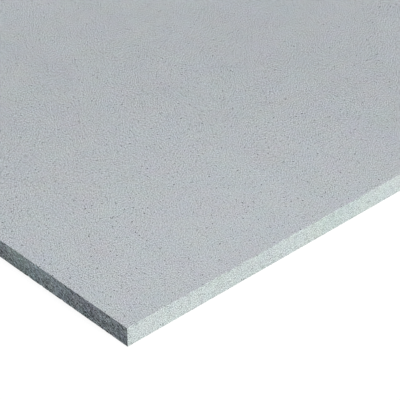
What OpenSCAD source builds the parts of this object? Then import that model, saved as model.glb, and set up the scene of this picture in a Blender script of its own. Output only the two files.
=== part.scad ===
// Unfaced gypsum fibre drywall sheet with square edges, lying flat with its sanded face up.
// The origin is the middle of its back, x runs along its length and z points out of its face.

/* [Sheet] */
// Length of the sheet, along its two trimmed long edges
sheet_length = 2400; // [600:50:3600]
// Width of the sheet, between its two trimmed long edges
sheet_width = 1200; // [300:50:1250]
// Thickness of the sheet, from its back to its face
sheet_thickness = 12.5; // [9.5:0.5:25]

/* [Long edges] */
// Rounding of the face-side arris, which the sanding of the face barely breaks
edge_face_rounding = 0.3; // [0.1:0.1:4]
// Rounding of the back-side arris
edge_back_rounding = 0.3; // [0.1:0.1:4]

/* [Sawn ends] */
// Rounding of the face-side arris, which the saw leaves nearly sharp
end_face_rounding = 0.2; // [0.1:0.1:4]
// Rounding of the back-side arris
end_back_rounding = 0.2; // [0.1:0.1:4]

/* [Corners] */
// Rounding of the four upright corners, seen from above
corner_rounding = 0.3; // [0.1:0.1:6]

/* [Hidden] */
$fn = 48;
board_colour = "#b4b9bc";
// How far the waste of a rounded corner reaches past the sheet
waste_overrun = 1;

// Waste outside a rounded corner at the origin, where the material lies towards -x and -y
module rounding_waste(radius) {
    translate([-radius, -radius])
        difference() {
            square(radius + waste_overrun);
            circle(r = radius);
        }
}

// Section through the sheet: y = 0 is its back, and its four arrises are rounded
module section(width, face_rounding, back_rounding) {
    difference() {
        translate([-width / 2, 0])
            square([width, sheet_thickness]);
        for (side = [0, 1])
            mirror([side, 0]) {
                translate([width / 2, sheet_thickness])
                    rounding_waste(face_rounding);
                translate([width / 2, 0])
                    mirror([0, 1])
                        rounding_waste(back_rounding);
            }
    }
}

// Outline of the sheet from above, with its four corners rounded
module outline() {
    difference() {
        square([sheet_length, sheet_width], center = true);
        for (end = [0, 1], side = [0, 1])
            mirror([end, 0])
                mirror([0, side])
                    translate([sheet_length / 2, sheet_width / 2])
                        rounding_waste(corner_rounding);
    }
}

// The sheet is what its cross section, its long section and its outline have in common
module board() {
    color(board_colour)
        intersection() {
            rotate([90, 0, 90])
                linear_extrude(sheet_length, center = true)
                    section(sheet_width, edge_face_rounding, edge_back_rounding);
            rotate([90, 0, 0])
                linear_extrude(sheet_width, center = true)
                    section(sheet_length, end_face_rounding, end_back_rounding);
            linear_extrude(sheet_thickness)
                outline();
        }
}

board();
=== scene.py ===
"""Looks of an unfaced gypsum fibre drywall sheet that lies on the floor with its sanded face up.
One closed piece stands for the solid: fine cells along its outline, where arrises are worn and
the saw tore the ends, and wide cells across the face and the back. Lengths are in metres.
"""

import math

import bmesh
import bpy
from mathutils import Matrix, Vector, noise


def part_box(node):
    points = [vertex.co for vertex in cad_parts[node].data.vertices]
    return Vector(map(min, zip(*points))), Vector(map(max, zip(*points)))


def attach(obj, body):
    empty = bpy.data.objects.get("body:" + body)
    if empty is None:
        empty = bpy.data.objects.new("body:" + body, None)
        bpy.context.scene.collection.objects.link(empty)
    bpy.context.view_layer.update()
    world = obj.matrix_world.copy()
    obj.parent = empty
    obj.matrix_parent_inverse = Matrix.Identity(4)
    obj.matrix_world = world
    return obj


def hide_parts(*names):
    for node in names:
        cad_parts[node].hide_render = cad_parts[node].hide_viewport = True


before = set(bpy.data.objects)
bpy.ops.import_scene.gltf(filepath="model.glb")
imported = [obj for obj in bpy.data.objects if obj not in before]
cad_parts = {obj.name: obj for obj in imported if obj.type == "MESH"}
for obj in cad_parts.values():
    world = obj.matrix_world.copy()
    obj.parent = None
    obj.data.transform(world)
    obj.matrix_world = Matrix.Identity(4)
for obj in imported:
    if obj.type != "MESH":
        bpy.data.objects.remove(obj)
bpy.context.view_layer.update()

MM = 0.001
SHEET_LOW, SHEET_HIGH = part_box("board")
SHEET = SHEET_HIGH - SHEET_LOW

# How the photo was taken, fitted to the corner's edges with the thickness as the scale
PHOTO_SIDE = 400
PHOTO_FOCAL = 1618.7
CORNER_AT = Vector((127.06, 328.55))
CORNER_DISTANCE = 853.5 * MM
LOOK_DOWN = math.radians(33.94)
LOOK_TURN = math.radians(46.91)
SENSOR = 36.0

# Light: a plain level at which the sheet's face renders as its colour is written
SUN_HEIGHT = math.radians(25)
SUN_TURN = math.radians(-91)
SUN_SPREAD = math.radians(18)
SUN_STRENGTH = 2.98
SKY_LEVEL = 0.60

# The floor: the share of light that it sends back up, and its own glow and matt part as it is seen
FLOOR_SIDE = 80.0
FLOOR_BOUNCE = 0.20
FLOOR_GLOW = 0.75
FLOOR_MATT = 0.3

# Cells of the mesh: wide ones across the face and the back, which are halved towards the outline.
# Each split leaves alone what is no longer than its least length.
WIDE_CELL = 75 * MM
HALVINGS = 5
LEAST_SPLIT = 2.6 * MM
END_LEAST_SPLIT = 1.3 * MM
CORNER_LEAST_SPLIT = 0.5 * MM
CORNER_REACH = 3 * MM

# Lines that follow the long edges, the ends, the face and the back this far inside them, for the
# roundings between them, and the rows of cells up a side between its outermost lines
EDGE_LINES = (0.15 * MM, 0.3 * MM, 0.6 * MM)
END_LINES = (0.15 * MM, 0.3 * MM)
FACE_LINES = (0.15 * MM, 0.3 * MM, 0.6 * MM)
BACK_LINES = (0.15 * MM, 0.3 * MM)
SIDE_ROWS = 7

# What lies this near to a cutting plane counts as on it
TOUCH = 1e-6

# Roundings of the arrises, which wear makes uneven
EDGE_FACE_ROUNDING = 0.25 * MM
EDGE_BACK_ROUNDING = 0.25 * MM
END_FACE_ROUNDING = 0.2 * MM
END_BACK_ROUNDING = 0.2 * MM
CORNER_ROUNDING = 0.3 * MM

# How far in from its outline the sheet is worn, and how deep the relief of its sides goes: torn
# fibres and scores in the sawn ends, torn fibres and waves in the trimmed edges
WEAR_REACH = 4 * MM
SAWN_TEAR = 0.17 * MM
SAWN_SCORE = 0.14 * MM
TRIMMED_TEAR = 0.05 * MM
TRIMMED_WAVE = 0.06 * MM

# Where the face and the sawn ends lie on the clouds of their shade and hue, so that the photo's
# corner is a pale patch of the face, and its end gets darker towards that corner
CLOUD_SHIFT = (-2.15, 2.70, 0)
END_CLOUD_SHIFT = (0.09, 0, 0)
END_TINT_SHIFT = (0.12, 0, 0)

# The strip of the map for baking that each side fills, by the axis that it faces and whether upwards
MAP_STRIPS = {
    (2, True): (0.51, 0.99), (2, False): (0.12, 0.5),
    (1, True): (0.01, 0.03), (1, False): (0.035, 0.055),
    (0, True): (0.06, 0.08), (0, False): (0.085, 0.105),
}

# The way that the speckle is drawn out, over the face, the sawn ends and the trimmed edges. On the
# face it is the photo's line of sight, in which an even speckle would look flattened.
FACE_GRAIN_TURN = math.radians(47)
END_SAW_TURN = math.radians(28)
EDGE_SAW_TURN = math.radians(18)

# How far each of red, green and blue drifts in a shade, and the distance between two drifts
TINGE = 0.16
END_TINGE = 0.38
TINGE_PITCH = 30 * MM

# Where a pit or a fibre fades out and where it is full, in shares of its radius or half width
MARK_OUT = 1.1
PIT_FULL = 0.5
FIBRE_FULL = 0.6

# Half of the noise's range over which the border of a fringe fades
FRINGE_FADE = 0.05


def add(tree, kind, inputs=(), **options):
    """Adds a shader node. Each input is a value, or the output that feeds it."""
    made = tree.nodes.new("ShaderNode" + kind)
    for option, value in options.items():
        setattr(made, option, value)
    for name, value in dict(inputs).items():
        if isinstance(value, bpy.types.NodeSocket):
            tree.links.new(value, made.inputs[name])
        else:
            made.inputs[name].default_value = value
    return made


def linear(hex_colour):
    """A colour written as sRGB hex, as the linear red, green, blue and alpha of a socket"""
    parts = [int(hex_colour[i : i + 2], 16) / 255 for i in (1, 3, 5)]
    return [c / 12.92 if c <= 0.04045 else ((c + 0.055) / 1.055) ** 2.4 for c in parts] + [1]


def place_camera():
    """The camera stands where the photo's did, measured from the sheet's near corner"""
    along = Vector((math.cos(LOOK_TURN), math.sin(LOOK_TURN), 0))
    ahead = along * math.cos(LOOK_DOWN) - Vector((0, 0, math.sin(LOOK_DOWN)))
    right = Vector((along.y, -along.x, 0))
    up = right.cross(ahead)
    off = (CORNER_AT - Vector((PHOTO_SIDE / 2, PHOTO_SIDE / 2))) * CORNER_DISTANCE / PHOTO_FOCAL
    corner = Vector((SHEET_LOW.x, SHEET_LOW.y, SHEET_HIGH.z))
    lens = bpy.data.cameras.new("camera")
    lens.sensor_width = SENSOR
    lens.lens = SENSOR * PHOTO_FOCAL / PHOTO_SIDE
    camera = bpy.data.objects.new("camera", lens)
    bpy.context.scene.collection.objects.link(camera)
    camera.location = corner - ahead * CORNER_DISTANCE - right * off.x + up * off.y
    camera.rotation_euler = Matrix((right, up, -ahead)).transposed().to_euler()
    bpy.context.scene.camera = camera


def place_sun():
    """One soft lamp in front of the near long edge, which leaves the sawn end in shade"""
    lamp = bpy.data.lights.new("sun", "SUN")
    lamp.energy = SUN_STRENGTH
    lamp.angle = SUN_SPREAD
    sun = bpy.data.objects.new("sun", lamp)
    bpy.context.scene.collection.objects.link(sun)
    level = math.cos(SUN_HEIGHT)
    towards = Vector((level * math.cos(SUN_TURN), level * math.sin(SUN_TURN), math.sin(SUN_HEIGHT)))
    sun.rotation_euler = towards.to_track_quat("Z", "Y").to_euler()


def seen_directly(tree):
    """1 where a ray only shows the background, in the picture, a reflection or through glass"""
    path = add(tree, "LightPath")
    seen = add(tree, "Math", {0: path.outputs["Is Camera Ray"], 1: path.outputs["Is Glossy Ray"]},
               operation="MAXIMUM")
    return add(tree, "Math", {0: seen.outputs[0], 1: path.outputs["Is Transmission Ray"]},
               operation="MAXIMUM").outputs[0]


def light_surroundings():
    """White to look at, and a dim even sky to be lit by"""
    world = bpy.data.worlds.new("surroundings")
    bpy.context.scene.world = world
    world.use_nodes = True
    tree = world.node_tree
    tree.nodes.clear()
    sky = add(tree, "Background", {"Color": (1, 1, 1, 1), "Strength": SKY_LEVEL})
    white = add(tree, "Background", {"Color": (1, 1, 1, 1), "Strength": 1})
    mixed = add(tree, "MixShader", {0: seen_directly(tree), 1: sky.outputs[0], 2: white.outputs[0]})
    add(tree, "OutputWorld", {"Surface": mixed.outputs[0]})


def painted_floor():
    """Matt white studio floor. It shows white with a light shadow, and sends little light back up."""
    material = bpy.data.materials.new("studio_floor")
    material.use_nodes = True
    tree = material.node_tree
    tree.nodes.clear()
    bounce = add(tree, "BsdfDiffuse", {"Color": (FLOOR_BOUNCE,) * 3 + (1,)})
    glow = add(tree, "Emission", {"Color": (1, 1, 1, 1), "Strength": FLOOR_GLOW})
    matt = add(tree, "BsdfDiffuse", {"Color": (FLOOR_MATT,) * 3 + (1,)})
    white = add(tree, "AddShader", {0: glow.outputs[0], 1: matt.outputs[0]})
    mixed = add(tree, "MixShader", {0: seen_directly(tree), 1: bounce.outputs[0], 2: white.outputs[0]})
    add(tree, "OutputMaterial", {"Surface": mixed.outputs[0]})
    return material


def lay_floor():
    """A wide level floor under the sheet"""
    bm = bmesh.new()
    bmesh.ops.create_grid(bm, x_segments=1, y_segments=1, size=FLOOR_SIDE / 2)
    mesh = bpy.data.meshes.new("floor")
    bm.to_mesh(mesh)
    bm.free()
    mesh.materials.append(painted_floor())
    floor = bpy.data.objects.new("floor", mesh)
    bpy.context.scene.collection.objects.link(floor)


def begin(name, first, second):
    """A material with no nodes yet but its place: metres along the two axes of one side of the sheet"""
    material = bpy.data.materials.new(name)
    material.use_nodes = True
    tree = material.node_tree
    tree.nodes.clear()
    axes = add(tree, "SeparateXYZ", {0: add(tree, "TexCoord").outputs["Object"]})
    place = add(tree, "CombineXYZ", {0: axes.outputs[first], 1: axes.outputs[second]})
    return material, tree, place.outputs[0], axes.outputs["Z"]


def clouds(tree, place, pitches, detail=1):
    """Cloudy noises from 0 to 1, one for each distance between their patches"""
    return [add(tree, "TexNoise", {"Vector": place, "Scale": 1 / pitch, "Detail": detail},
                noise_dimensions="2D").outputs[0] for pitch in pitches]


def drawn_out(tree, place, turn, times):
    """The same place, on which a pattern comes out this many times longer along one direction"""
    return add(tree, "Mapping", {"Vector": place, "Rotation": (0, 0, turn), "Scale": (times, 1, 1)},
               vector_type="TEXTURE").outputs[0]


def summed(tree, level, swings, marks=()):
    """A level that each cloudy pattern swings about, plus the marks on it, each by its share"""
    total = level - sum(share for _, share in swings) / 2
    for pattern, share in [*swings, *marks]:
        total = add(tree, "Math", {0: pattern, 1: share, 2: total}, operation="MULTIPLY_ADD").outputs[0]
    return total


def cells_of(tree, place, pitch):
    """Irregular cells of this pitch, and three random numbers from 0 to 1 for each cell"""
    cells = add(tree, "TexVoronoi", {"Vector": place, "Scale": 1 / pitch}, voronoi_dimensions="2D")
    return cells, add(tree, "SeparateColor", {0: cells.outputs["Color"]}).outputs


def pits(tree, place, pitch, radius):
    """1 inside round pits, one to a cell of this pitch: many small ones and a few of this radius"""
    cells, lots = cells_of(tree, place, pitch)
    size = add(tree, "Math", {0: lots[0], 1: lots[0]}, operation="MULTIPLY")
    share = add(tree, "Math", {0: size.outputs[0], 1: radius / pitch}, operation="MULTIPLY")
    away = add(tree, "Math", {0: cells.outputs["Distance"], 1: share.outputs[0]}, operation="DIVIDE")
    return add(tree, "MapRange", {"Value": away.outputs[0], "From Min": MARK_OUT,
                                  "From Max": PIT_FULL}).outputs[0]


def strands(tree, place, pitch, long, wide):
    """1 along short straight fibres that lie every way, one to a cell of this pitch, and 0 elsewhere"""
    cells, lots = cells_of(tree, place, pitch)
    turn = add(tree, "Math", {0: lots[0], 1: math.tau}, operation="MULTIPLY")
    off = add(tree, "VectorMath", {0: place, 1: cells.outputs["Position"]}, operation="SUBTRACT")
    turned = add(tree, "VectorRotate", {"Vector": off.outputs[0], "Angle": turn.outputs[0]})
    scaled = add(tree, "VectorMath", {0: turned.outputs[0], 1: (2 / long, 2 / wide, 0)},
                 operation="MULTIPLY")
    away = add(tree, "VectorMath", {0: scaled.outputs[0]}, operation="LENGTH")
    return add(tree, "MapRange", {"Value": away.outputs["Value"], "From Min": MARK_OUT,
                                  "From Max": FIBRE_FULL}).outputs[0]


def fringe(tree, z, arris, reach, border, level):
    """1 beside an arris at this height, as far as a wandering border: it lies one reach away for each 1
    by which the border's noise is over the level, upwards, or downwards where the reach is negative"""
    away = add(tree, "MapRange", {"Value": z, "From Min": arris, "From Max": arris + reach}).outputs[0]
    inside = add(tree, "Math", {0: border, 1: away}, operation="SUBTRACT").outputs[0]
    return add(tree, "MapRange", {"Value": inside, "From Min": level - FRINGE_FADE,
                                  "From Max": level + FRINGE_FADE}).outputs[0]


def matt(tree, place, shade, tinge, lightness, height):
    """Ends a material: a shade that drifts slightly in hue, its lightness, and relief in millimetres"""
    tints = add(tree, "TexNoise", {"Vector": place, "Scale": 1 / TINGE_PITCH, "Detail": 4,
                                   "Roughness": 0.9}, noise_dimensions="2D")
    pure = Vector(linear(shade)[:3])
    drift = add(tree, "VectorMath", {0: tints.outputs["Color"], 1: pure * tinge,
                                     2: pure * (1 - tinge / 2)}, operation="MULTIPLY_ADD")
    colour = add(tree, "VectorMath", {0: drift.outputs[0], "Scale": lightness}, operation="SCALE")
    relief = add(tree, "Bump", {"Height": height, "Distance": MM})
    shader = add(tree, "BsdfPrincipled", {"Base Color": colour.outputs[0], "Roughness": 0.9,
                                          "Specular IOR Level": 0.25, "Normal": relief.outputs[0]})
    add(tree, "OutputMaterial", {"Surface": shader.outputs[0]})


def sanded_face():
    """Gypsum fibreboard, pressed and then sanded flat: a matt blue-grey with a fine grain, scattered
    pores of up to a millimetre, pale ends of fibres, and slow drifts in its shade. The speckle is
    stronger where the shade is darker. The real grain is about a quarter of a millimetre. On each
    side that the photo shows it is drawn at 0.5 or 0.6 mm, so that it shows from here."""
    material, tree, place, _ = begin("sanded_gypsum_fibre", "X", "Y")
    grain, = clouds(tree, drawn_out(tree, place, FACE_GRAIN_TURN, 1.85), (0.5 * MM,), 0)
    mottle, = clouds(tree, place, (26 * MM,))
    shifted = add(tree, "VectorMath", {0: place, 1: CLOUD_SHIFT}, operation="ADD").outputs[0]
    cloud, = clouds(tree, shifted, (500 * MM,))
    # The pores are sunk in the relief and also painted dark, for the shade that falls into them
    small = pits(tree, place, 1.8 * MM, 0.42 * MM)
    large = pits(tree, place, 5.5 * MM, 0.5 * MM)
    fibres = strands(tree, place, 3.4 * MM, 2.6 * MM, 0.35 * MM)
    speckle = summed(tree, 0, [(grain, 1.15)], [(small, -0.6), (large, -0.95), (fibres, 0.08)])
    strength = add(tree, "MapRange", {"Value": cloud, "From Min": 0.35, "From Max": 0.8,
                                      "To Min": 1.67, "To Max": 0.72}).outputs[0]
    patchy = add(tree, "Math", {0: speckle, 1: strength}, operation="MULTIPLY").outputs[0]
    lightness = summed(tree, 1.01, [(mottle, 0.05), (cloud, 0.25)], [(patchy, 1)])
    height = summed(tree, 0, [(grain, 0.1)], [(small, -0.12), (large, -0.3), (fibres, 0.03)])
    matt(tree, place, "#b3b8bc", TINGE, lightness, height)
    return material


def pressed_back():
    """Gypsum fibreboard as it left the press, only rough-sanded: the face's grey, a little coarser"""
    material, tree, place, _ = begin("pressed_gypsum_fibre", "X", "Y")
    grain, mottle, cloud = clouds(tree, place, (1.4 * MM, 18 * MM, 400 * MM))
    # The holes are sunk in the relief and also painted darker, for the shade inside them
    holes = pits(tree, place, 4 * MM, 1.0 * MM)
    fibres = strands(tree, place, 4 * MM, 3.4 * MM, 0.4 * MM)
    lightness = summed(tree, 1.0, [(grain, 1.2), (mottle, 0.1), (cloud, 0.24)],
                       [(holes, -0.35), (fibres, 0.14)])
    height = summed(tree, 0, [(grain, 0.16)], [(holes, -0.25), (fibres, 0.06)])
    matt(tree, place, "#b4b6b5", TINGE, lightness, height)
    return material


def trimmed_edge():
    """Gypsum fibreboard trimmed by a fine saw at the works: the paler and greener inside of the board,
    nearly smooth, with small dark flecks and a few thin scratches. Painted shade runs unevenly down
    over its top arris from the face, where the lamp would light the rounding brighter."""
    material, tree, place, z = begin("trimmed_gypsum_fibre", "X", "Z")
    grain, = clouds(tree, place, (0.5 * MM,), 0)
    mottle, run = clouds(tree, place, (60 * MM, 7 * MM))
    lines, = clouds(tree, drawn_out(tree, place, EDGE_SAW_TURN, 4), (0.8 * MM,), 0)
    flecks = pits(tree, place, 1.7 * MM, 0.4 * MM)
    scratches = pits(tree, drawn_out(tree, place, EDGE_SAW_TURN, 6), 1.2 * MM, 0.35 * MM)
    # Painted shade: darkens the top arris unevenly, in place of the highlight that the lamp gives its
    # rounding
    grey = fringe(tree, z, SHEET.z, -1.8 * MM, run, 0.38)
    lightness = summed(tree, 1.02, [(grain, 1.7), (lines, 0.3), (mottle, 0.16)],
                       [(flecks, -0.38), (scratches, -0.25), (grey, -0.2)])
    height = summed(tree, 0, [(grain, 0.1)], [(flecks, -0.12), (scratches, -0.15)])
    matt(tree, place, "#b5bebd", TINGE, lightness, height)
    return material


def sawn_end():
    """Gypsum fibreboard cut across by a coarse saw: torn fibres stand out pale over hollows that are
    painted dark for the shade in them, painted shade darkens it towards the back, where it lies on
    the floor, and a painted shadow lies in broken stretches along the back arris"""
    material, tree, place, z = begin("sawn_gypsum_fibre", "Y", "Z")
    sawn = drawn_out(tree, place, END_SAW_TURN, 2)
    shifted = add(tree, "VectorMath", {0: place, 1: END_CLOUD_SHIFT}, operation="ADD").outputs[0]
    grain, = clouds(tree, drawn_out(tree, place, END_SAW_TURN, 1.5), (0.6 * MM,), 0)
    mottle, wide, run, shadow_breaks = clouds(tree, shifted, (14 * MM, 70 * MM, 4 * MM, 1.6 * MM))
    torn, = clouds(tree, sawn, (2 * MM,))
    lines, = clouds(tree, drawn_out(tree, place, END_SAW_TURN, 5), (0.9 * MM,), 0)
    chips = fringe(tree, z, SHEET.z, -4 * MM, run, 0.5)
    # Painted shadow: broken dark stretches along the back arris, where the end meets the floor
    painted_contact_shadow = fringe(tree, z, 0, 6 * MM, shadow_breaks, 0.5)
    # The hollows are sunk in the relief and also painted dark, for the shade inside them
    hollows = pits(tree, sawn, 1.6 * MM, 0.9 * MM)
    fibres = strands(tree, sawn, 1.3 * MM, 1.5 * MM, 0.3 * MM)
    more_fibres = strands(tree, sawn, 1.9 * MM, 2.4 * MM, 0.35 * MM)
    # Painted shade: the end darkens towards the back, where it lies on the floor
    low = add(tree, "MapRange", {"Value": z, "From Min": 0.7 * SHEET.z,
                                 "From Max": 0.4 * SHEET.z}).outputs[0]
    swings = [(grain, 1.5), (lines, 1.5), (mottle, 0.2), (wide, 0.95), (low, -0.15)]
    # The level of 0.74 is partly the cut board's own darker colour and partly painted shade among its
    # torn fibres
    lightness = summed(tree, 0.74, swings, [(hollows, -0.2), (fibres, 0.9), (more_fibres, 0.85),
                                            (chips, -0.35), (painted_contact_shadow, -0.45)])
    height = summed(tree, 0, [(grain, 0.15), (torn, 0.5)],
                    [(hollows, -0.35), (fibres, 0.2), (more_fibres, 0.2)])
    tinted = add(tree, "VectorMath", {0: place, 1: END_TINT_SHIFT}, operation="ADD").outputs[0]
    matt(tree, tinted, "#a2aeb4", END_TINGE, lightness, height)
    return material


def end_gap(point):
    """How far a point lies inside the nearer sawn end"""
    return SHEET.x / 2 - abs(point.x)


def edge_gap(point):
    """How far a point lies inside the nearer long edge"""
    return SHEET.y / 2 - abs(point.y)


def split(bm, edges):
    """Halves these edges and lays a grid into the cells that they bound"""
    bmesh.ops.subdivide_edges(bm, edges=edges, cuts=1, use_grid_fill=True, use_single_edge=True)


def spans(edge, axis):
    """Whether an edge runs along one axis, 0 for x, 1 for y and 2 for z"""
    run = edge.verts[1].co - edge.verts[0].co
    return abs(run[axis]) > 0.9 * run.length


def cut_sheet():
    """The square-edged block, with lines for its arrises, and finer cells towards its outline"""
    bm = bmesh.new()
    bmesh.ops.create_cube(bm, size=1)
    bmesh.ops.scale(bm, vec=SHEET, verts=bm.verts)
    bmesh.ops.translate(bm, vec=(0, 0, SHEET.z / 2), verts=bm.verts)
    middle = SHEET.z - FACE_LINES[-1] - BACK_LINES[-1]
    rows = [BACK_LINES[-1] + middle * i / SIDE_ROWS for i in range(1, SIDE_ROWS)]
    lines = [(2, z) for z in [*BACK_LINES, *rows, *(SHEET.z - gap for gap in FACE_LINES)]]
    lines += [(0, side * (SHEET.x / 2 - gap)) for side in (-1, 1) for gap in END_LINES]
    lines += [(1, side * (SHEET.y / 2 - gap)) for side in (-1, 1) for gap in EDGE_LINES]
    for axis, place in lines:
        normal = Vector((axis == 0, axis == 1, axis == 2))
        bmesh.ops.bisect_plane(bm, geom=[*bm.verts, *bm.edges, *bm.faces], dist=TOUCH,
                               plane_co=normal * place, plane_no=normal)
    for axis in (0, 1):
        long_spans = [e for e in bm.edges if spans(e, axis) and e.calc_length() > WIDE_CELL]
        bmesh.ops.subdivide_edges(bm, edges=long_spans, cuts=round(SHEET[axis] / WIDE_CELL) - 1,
                                  use_grid_fill=True)
    # The reach is a little over a cell, so that the cells right at its border are halved too
    for halving in range(HALVINGS):
        reach = 1.01 * WIDE_CELL / 2**halving + EDGE_LINES[-1]
        split(bm, [e for e in bm.edges
                   if e.calc_length() > LEAST_SPLIT and not spans(e, 2)
                   and all(min(end_gap(v.co), edge_gap(v.co)) < reach for v in e.verts)])
    split(bm, [e for e in bm.edges
               if e.calc_length() > END_LEAST_SPLIT and not spans(e, 2)
               and all(end_gap(v.co) < LEAST_SPLIT for v in e.verts)])
    split(bm, [e for e in bm.edges
               if e.calc_length() > CORNER_LEAST_SPLIT
               and all(max(end_gap(v.co), edge_gap(v.co)) < CORNER_REACH for v in e.verts)])
    return bm


def worn(gap_a, gap_b, radius):
    """Pulls a point near a square arris back onto a rounding of this radius"""
    if gap_a >= radius or gap_b >= radius:
        return gap_a, gap_b
    reach = math.hypot(radius - gap_a, radius - gap_b)
    if reach <= radius:
        return gap_a, gap_b
    pull = radius / reach
    return radius - (radius - gap_a) * pull, radius - (radius - gap_b) * pull


def ripple(point, pitch, seed):
    """Smooth noise from about -1 to 1 whose lumps are this far apart"""
    return noise.noise(point / pitch + Vector((seed, 0, 0)))


def wear_arrises(bm):
    """Rounds every arris unevenly, with a few crumbled places. Small chips follow the saw along the
    ends, most of all at the back, where it came out."""
    for vert in bm.verts:
        at = vert.co
        ends, edges = end_gap(at), edge_gap(at)
        if min(ends, edges) > WEAR_REACH:
            continue
        uneven = 1 + 0.35 * ripple(at, 9 * MM, 3) + 0.3 * ripple(at, 3.5 * MM, 7)
        crumbled = 1.6 * max(0, ripple(at, 17 * MM, 11) - 0.42) * MM
        chipped = 0.8 * max(0, ripple(at, 3 * MM, 13) - 0.15) * MM
        top, bottom = SHEET.z - at.z, at.z
        edges, top = worn(edges, top, EDGE_FACE_ROUNDING * uneven + crumbled)
        ends, top = worn(ends, top, END_FACE_ROUNDING * uneven + crumbled + chipped)
        edges, bottom = worn(edges, bottom, EDGE_BACK_ROUNDING * uneven + crumbled)
        ends, bottom = worn(ends, bottom, END_BACK_ROUNDING * uneven + crumbled + 2 * chipped)
        ragged = 1.5 * max(0, ripple(at, 2.2 * MM, 17)) * MM
        ends, edges = worn(ends, edges, CORNER_ROUNDING * uneven + ragged)
        z = SHEET.z - top if at.z > SHEET.z / 2 else bottom
        vert.co = Vector((math.copysign(SHEET.x / 2 - ends, at.x),
                          math.copysign(SHEET.y / 2 - edges, at.y), z))


def roughen_sides(bm):
    """Sinks the saw's scores and torn fibres into the ends, and a slight unevenness into the edges"""
    bm.normal_update()
    sunk = []
    for vert in bm.verts:
        at, out = vert.co, vert.normal
        if abs(out.z) > 0.95:
            continue
        torn = 0.5 + 0.5 * ripple(at, 3.2 * MM, 21)
        across = at.z * math.cos(END_SAW_TURN) - at.y * math.sin(END_SAW_TURN)
        score = 0.5 + 0.5 * ripple(Vector((0.2 * at.y, across, 0)), 2.6 * MM, 31)
        wave = 0.5 + 0.5 * ripple(at, 14 * MM, 41)
        sawn = SAWN_TEAR * torn + SAWN_SCORE * score
        trimmed = TRIMMED_TEAR * torn + TRIMMED_WAVE * wave
        sunk.append((vert, out * (sawn * out.x**2 + trimmed * out.y**2)))
    for vert, depth in sunk:
        vert.co -= depth


def side_of(normal):
    """The place in the list of finishes of the side that a face belongs to"""
    if abs(normal.z) > 0.7:
        return 0 if normal.z > 0 else 1
    return 2 if abs(normal.y) > abs(normal.x) else 3


def lay_out_map(bm):
    """A map for baking, where each of the six sides fills a strip of its own from left to right"""
    layer = bm.loops.layers.uv.new("OFBake")
    for face in bm.faces:
        facing = max(range(3), key=lambda axis: abs(face.normal[axis]))
        along, across = (axis for axis in range(3) if axis != facing)
        low, high = MAP_STRIPS[facing, face.normal[facing] > 0]
        for loop in face.loops:
            at = loop.vert.co - SHEET_LOW
            rise = at[across] / SHEET[across]
            loop[layer].uv = (at[along] / SHEET[along], low + (high - low) * rise)


def make_sheet():
    """The whole sheet as one closed piece"""
    bm = cut_sheet()
    wear_arrises(bm)
    roughen_sides(bm)
    bmesh.ops.recalc_face_normals(bm, faces=bm.faces)
    for face in bm.faces:
        face.smooth = True
        face.material_index = side_of(face.normal)
    lay_out_map(bm)
    mesh = bpy.data.meshes.new("gypsum_fibre_sheet")
    bm.to_mesh(mesh)
    bm.free()
    for finish in (sanded_face, pressed_back, trimmed_edge, sawn_end):
        mesh.materials.append(finish())
    sheet = bpy.data.objects.new("gypsum_fibre_sheet", mesh)
    bpy.context.scene.collection.objects.link(sheet)
    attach(sheet, "root")
    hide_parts("board")


bpy.context.scene.view_settings.view_transform = "Standard"
place_camera()
place_sun()
light_surroundings()
lay_floor()
make_sheet()
